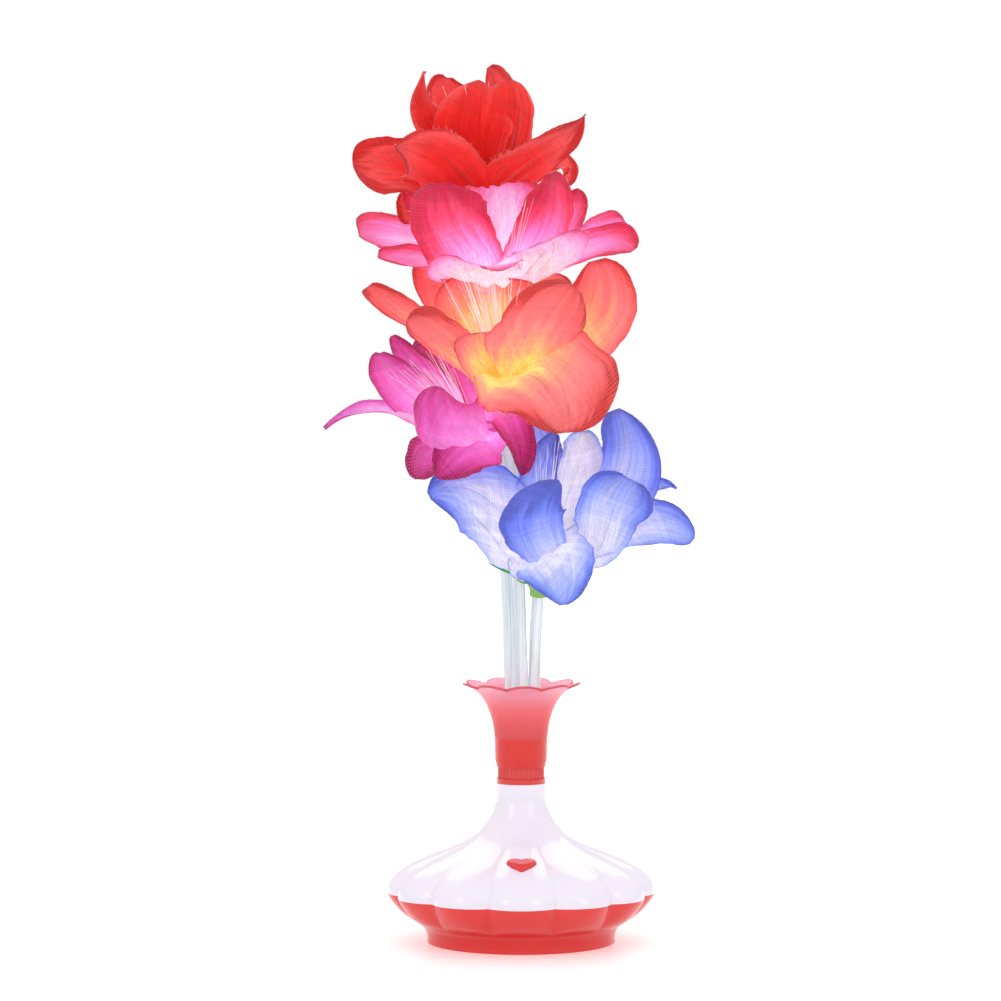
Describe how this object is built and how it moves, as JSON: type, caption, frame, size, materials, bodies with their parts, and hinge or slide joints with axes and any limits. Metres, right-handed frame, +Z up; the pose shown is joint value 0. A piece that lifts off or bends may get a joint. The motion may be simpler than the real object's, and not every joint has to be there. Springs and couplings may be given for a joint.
{
  "type": "fiber optic flower lamp",
  "caption": "Battery lamp with a scalloped round base, a heart-shaped push button, a trumpet neck and cloth flowers on stems of light fibres.",
  "frame": {"origin": "middle of the foot ring, on the surface that the lamp stands on", "axes": "+Z up through the neck, -Y towards the heart button at the front, +X to the viewer's right"},
  "size_m": [0.1558, 0.1185, 0.342],
  "materials": {
    "red_plastic": "gloss",
    "pearl_plastic": "pearl gloss",
    "trumpet_plastic": "translucent gloss",
    "button_red": "gloss",
    "black_plastic": "matt",
    "switch_grey": "matt",
    "board_green": "solder mask",
    "led_clear": "clear resin",
    "clear_plastic": "clear moulding",
    "light_fibre": "clear polymer fibre",
    "screw_steel": "zinc plated",
    "contact_steel": "nickel plated",
    "ferrule_metal": "turned",
    "cell_wrap": "plain foil wrap",
    "green_cloth": "stiffened cloth",
    "red_cloth": "stiffened woven cloth",
    "pink_cloth": "stiffened woven cloth",
    "orange_cloth": "stiffened woven cloth",
    "magenta_cloth": "stiffened woven cloth",
    "blue_cloth": "stiffened woven cloth"
  },
  "bodies": {
    "base": {"lower_shell": "red_plastic", "upper_shell": "pearl_plastic", "shell_screws": "screw_steel", "board_screws": "screw_steel", "circuit_board": "board_green", "led_1": "led_clear", "led_2": "led_clear", "led_3": "led_clear", "switch_body": "black_plastic", "cell_1": "cell_wrap", "cell_2": "cell_wrap", "cell_3": "cell_wrap", "contact_plus": "contact_steel", "contact_minus": "contact_steel", "contact_bridge_left": "contact_steel", "contact_bridge_right": "contact_steel"},
    "button": {"heart_button": "button_red", "switch_plunger": "switch_grey"},
    "door": {"battery_door": "red_plastic"},
    "bouquet": {"neck_plug": "red_plastic", "ferrule": "ferrule_metal", "trumpet": "trumpet_plastic", "red_fibres": "light_fibre", "red_calyx": "green_cloth", "red_collar": "clear_plastic", "red_outer_petals": "red_cloth", "red_inner_petals": "red_cloth", "pink_fibres": "light_fibre", "pink_calyx": "green_cloth", "pink_collar": "clear_plastic", "pink_outer_petals": "pink_cloth", "pink_inner_petals": "pink_cloth", "orange_fibres": "light_fibre", "orange_calyx": "green_cloth", "orange_collar": "clear_plastic", "orange_outer_petals": "orange_cloth", "orange_inner_petals": "orange_cloth", "magenta_fibres": "light_fibre", "magenta_calyx": "green_cloth", "magenta_collar": "clear_plastic", "magenta_outer_petals": "magenta_cloth", "magenta_inner_petals": "magenta_cloth", "blue_fibres": "light_fibre", "blue_calyx": "green_cloth", "blue_collar": "clear_plastic", "blue_outer_petals": "blue_cloth", "blue_inner_petals": "blue_cloth"}
  },
  "joints": [
    {"name": "heart_press", "type": "slide", "parent": "base", "child": "button", "axis": [0, 0, -1], "range_m": [0, 0.0015], "stiffness_N_per_m": 1200, "springref_m": -0.0005},
    {"name": "door_hinge", "type": "hinge", "parent": "base", "child": "door", "pos_m": [0, -0.0167, 0.0016], "axis": [-1, 0, 0], "range_deg": [0, 60]},
    {"name": "bouquet_lift", "type": "slide", "parent": "base", "child": "bouquet", "axis": [0, 0, 1], "range_m": [0, 0.02]}
  ]
}
